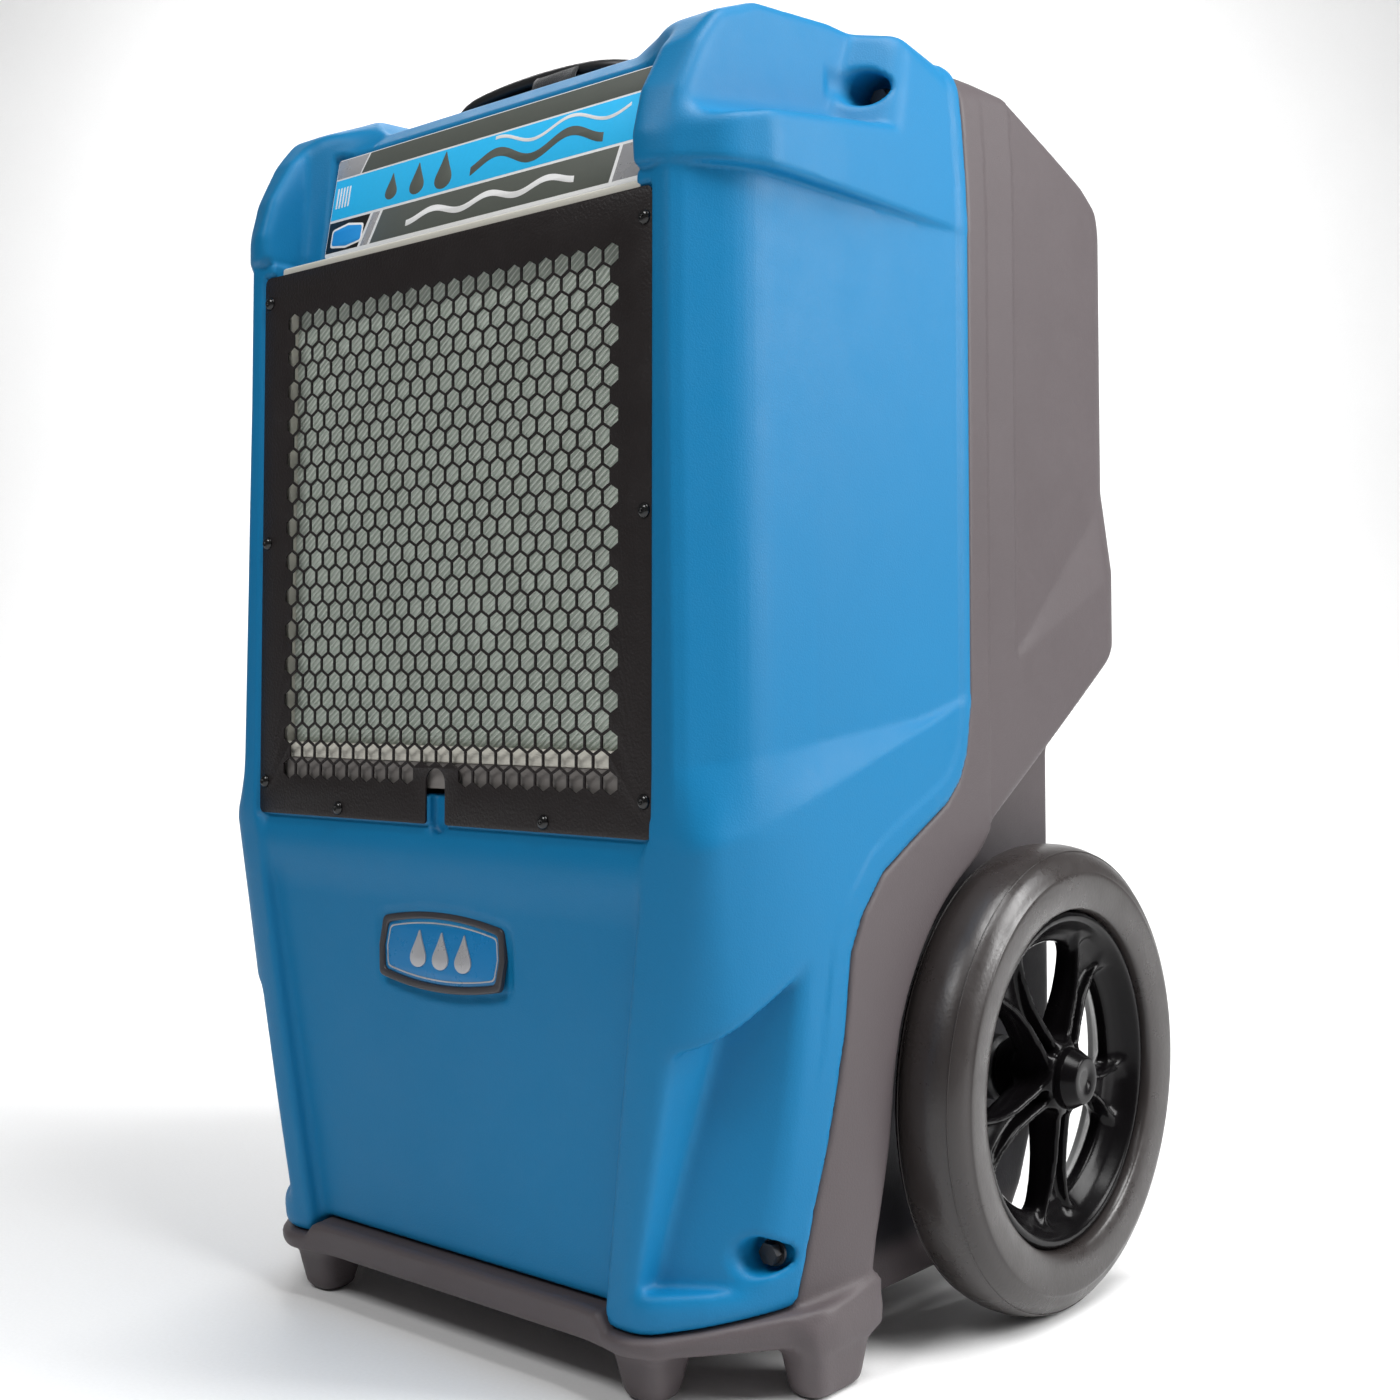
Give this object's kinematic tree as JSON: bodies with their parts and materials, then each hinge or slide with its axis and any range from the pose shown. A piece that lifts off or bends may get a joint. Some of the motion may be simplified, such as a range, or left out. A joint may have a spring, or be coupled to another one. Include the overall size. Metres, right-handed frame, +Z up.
{
  "type": "dehumidifier",
  "caption": "Upright two-wheeled commercial refrigerant dehumidifier with moulded housing, perforated front grille, pull-up filter, sliding handle and coiled cord on top.",
  "frame": {"origin": "centre of the bounding box in plan, on the floor", "axes": "+X to the right seen from the front, -Y to the front (air inlet side), +Z up"},
  "size_m": [0.5902, 0.523, 0.87],
  "materials": {
    "blue_plastic": "semi-matte rotationally moulded polyethylene, fine even grain",
    "grey_plastic": "matte rotationally moulded polyethylene, warm dark grey",
    "black_coated_sheet": "fine-textured black powder coat",
    "black_screw": "glossy black coated pan heads",
    "filter_media": "pale grey-green fibre mat",
    "filter_frame": "off-white card frame",
    "grey_sheet": "satin grey",
    "fins": "bare fin stock",
    "galvanised": "galvanised sheet",
    "copper": "drawn copper tube",
    "black_plastic": "satin black",
    "black_paint": "satin black enamel",
    "black_rubber": "matte",
    "clear_hose": "milky flexible hose",
    "motor_paint": "satin dark grey",
    "steel": "zinc-plated",
    "label": "printed film with plain colour bands",
    "badge_grey": "satin",
    "badge_blue": "satin",
    "panel_plastic": "satin",
    "lens": "dark glossy lens",
    "button_red": "satin",
    "button_grey": "satin",
    "button_blue": "satin",
    "brass": "turned brass",
    "tyre": "semi-gloss grey non-marking rubber",
    "hub_black": "glossy black moulded nylon",
    "bush": "natural nylon",
    "cable": "black flexible jacket",
    "strap": "black hook-and-loop webbing"
  },
  "bodies": {
    "machine": {"front_housing": "blue_plastic", "rear_housing": "grey_plastic", "front_grille": "black_coated_sheet", "grille_screws": "black_screw", "filter_rack": "grey_sheet", "evaporator_fins": "fins", "condenser_fins": "fins", "coil_end_plates": "galvanised", "coil_bends": "copper", "drip_tray": "black_plastic", "chassis": "galvanised", "compressor": "black_paint", "rubber_mounts": "black_rubber", "condensate_pump": "black_plastic", "tray_drain": "clear_hose", "electrical_box": "galvanised", "filter_drier": "copper", "suction_line": "copper", "discharge_line": "copper", "fan_shroud": "black_coated_sheet", "motor_mount": "galvanised", "fan_motor": "motor_paint", "exhaust_collar": "black_plastic", "exhaust_guard": "black_coated_sheet", "label_panel": "label", "badge_frame": "badge_grey", "badge_plate": "badge_blue", "housing_bolts": "steel", "control_panel": "panel_plastic", "display_lens": "lens", "axle": "steel", "axle_spacers": "black_plastic", "handle_guides": "black_plastic", "cord_gland": "black_plastic", "drain_fitting": "brass", "cord_coil": "cable", "cord_strap": "strap", "power_cord": "cable", "power_plug": "cable"},
    "air_filter": {"filter_media": "filter_media", "filter_frame": "filter_frame"},
    "fan_rotor": {"fan_shaft": "steel", "impeller": "black_plastic"},
    "power_button": {"button_power": "button_red"},
    "menu_button": {"button_menu": "button_grey"},
    "up_button": {"button_up": "button_grey"},
    "down_button": {"button_down": "button_grey"},
    "purge_button": {"button_purge": "button_blue"},
    "handle": {"handle_frame": "black_paint", "handle_grip": "black_rubber", "handle_caps": "black_rubber"},
    "wheel_right": {"tyre_right": "tyre", "wheel_hub_right": "hub_black", "wheel_bush_right": "bush", "wheel_cap_right": "hub_black"},
    "wheel_left": {"tyre_left": "tyre", "wheel_hub_left": "hub_black", "wheel_bush_left": "bush", "wheel_cap_left": "hub_black"}
  },
  "joints": [
    {"name": "wheel_right_spin", "type": "hinge", "parent": "machine", "child": "wheel_right", "pos_m": [0.262, 0.084, 0.161], "axis": [1, 0, 0], "continuous": true},
    {"name": "wheel_left_spin", "type": "hinge", "parent": "machine", "child": "wheel_left", "pos_m": [-0.262, 0.084, 0.161], "axis": [1, 0, 0], "continuous": true},
    {"name": "fan_spin", "type": "hinge", "parent": "machine", "child": "fan_rotor", "pos_m": [0, 0.17, 0.61], "axis": [0, 1, 0], "continuous": true},
    {"name": "filter_slide", "type": "slide", "parent": "machine", "child": "air_filter", "axis": [0, 0, 1], "range_m": [0, 0.4]},
    {"name": "handle_slide", "type": "slide", "parent": "machine", "child": "handle", "axis": [0, 0, 1], "range_m": [0, 0.22]},
    {"name": "power_button_press", "type": "slide", "parent": "machine", "child": "power_button", "axis": [0, -0.2622, -0.965], "range_m": [0, 0.001], "stiffness_N_per_m": 1500, "springref_m": -0.0003},
    {"name": "menu_button_press", "type": "slide", "parent": "machine", "child": "menu_button", "axis": [0, -0.2622, -0.965], "range_m": [0, 0.001], "stiffness_N_per_m": 1500, "springref_m": -0.0003},
    {"name": "up_button_press", "type": "slide", "parent": "machine", "child": "up_button", "axis": [0, -0.2622, -0.965], "range_m": [0, 0.001], "stiffness_N_per_m": 1500, "springref_m": -0.0003},
    {"name": "down_button_press", "type": "slide", "parent": "machine", "child": "down_button", "axis": [0, -0.2622, -0.965], "range_m": [0, 0.001], "stiffness_N_per_m": 1500, "springref_m": -0.0003},
    {"name": "purge_button_press", "type": "slide", "parent": "machine", "child": "purge_button", "axis": [0, -0.2622, -0.965], "range_m": [0, 0.001], "stiffness_N_per_m": 1500, "springref_m": -0.0003}
  ]
}
